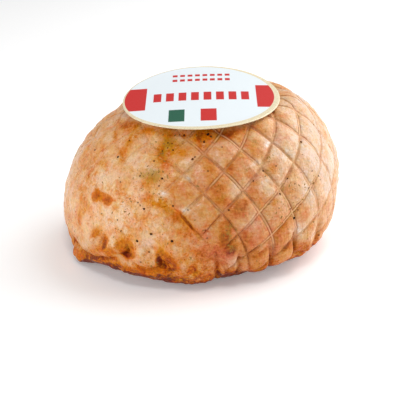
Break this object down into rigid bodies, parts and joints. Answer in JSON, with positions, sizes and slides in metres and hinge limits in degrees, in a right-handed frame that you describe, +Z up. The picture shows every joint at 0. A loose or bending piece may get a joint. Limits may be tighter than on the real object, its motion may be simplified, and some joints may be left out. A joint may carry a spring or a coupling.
{
  "type": "roast turkey breast",
  "caption": "Squat round-topped roast turkey breast with the diamond marks of a net, folded meat at its flat foot, and a thin round card label lying on its top.",
  "frame": {"origin": "middle of the bounding box in plan, on the surface that the flat foot rests on", "axes": "+X to the right along the longest side, +Z up, the front with its folds faces -Y"},
  "size_m": [0.2409, 0.2242, 0.1395],
  "materials": {
    "roasted_skin": "moist satin, peach to orange brown",
    "coated_card": "smooth semi-gloss coating with a cream rim"
  },
  "bodies": {
    "root": {"roast": "roasted_skin", "card_label": "coated_card"}
  },
  "joints": []
}
